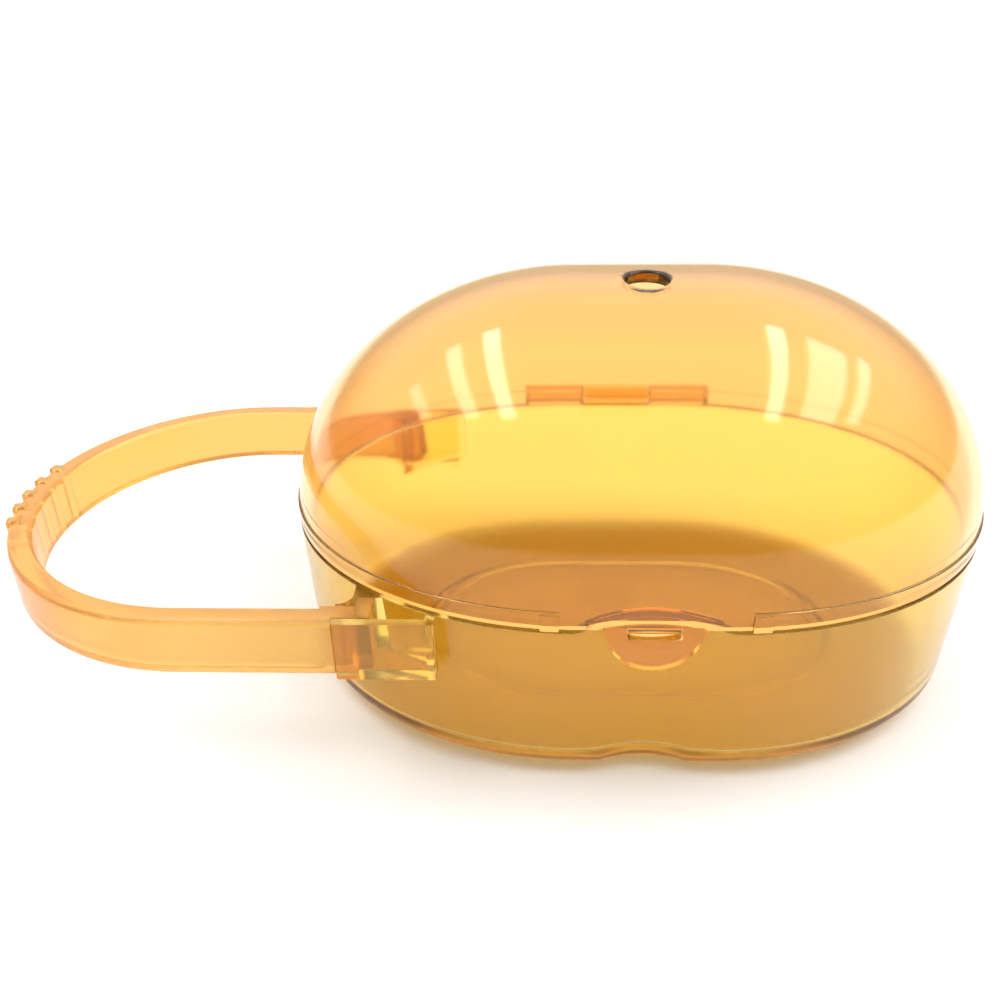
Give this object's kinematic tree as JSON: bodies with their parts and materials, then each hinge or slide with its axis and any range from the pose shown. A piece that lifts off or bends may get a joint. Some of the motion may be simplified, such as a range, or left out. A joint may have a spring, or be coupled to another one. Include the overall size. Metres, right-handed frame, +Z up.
{
  "type": "pacifier sterilizer case",
  "caption": "Oval see-through case with a domed hinged lid, a steam vent, a front latch tab and a soft carry strap, for steam cleaning and carrying pacifiers.",
  "frame": {"origin": "middle of the foot, on the surface that the case stands on", "axes": "+Z up, +X along the case's length away from the strap, the lid's hinge towards +Y, the latch tab towards -Y"},
  "size_m": [0.1443, 0.0707, 0.0601],
  "materials": {
    "case": "clear amber, glossy",
    "lid": "clear light amber, glossy",
    "pin": "clear amber, satin",
    "strap": "cloudy amber, soft satin"
  },
  "bodies": {
    "base": {"base_tray": "case"},
    "lid": {"lid_dome": "lid", "hinge_pin": "pin"},
    "strap": {"carry_strap": "strap"}
  },
  "joints": [
    {"name": "lid_hinge", "type": "hinge", "parent": "base", "child": "lid", "pos_m": [0, 0.03545, 0.0271], "axis": [-1, 0, 0], "range_deg": [0, 120]},
    {"name": "strap_lift", "type": "slide", "parent": "base", "child": "strap", "axis": [0, 0, 1], "range_m": [0, 0.009]}
  ]
}
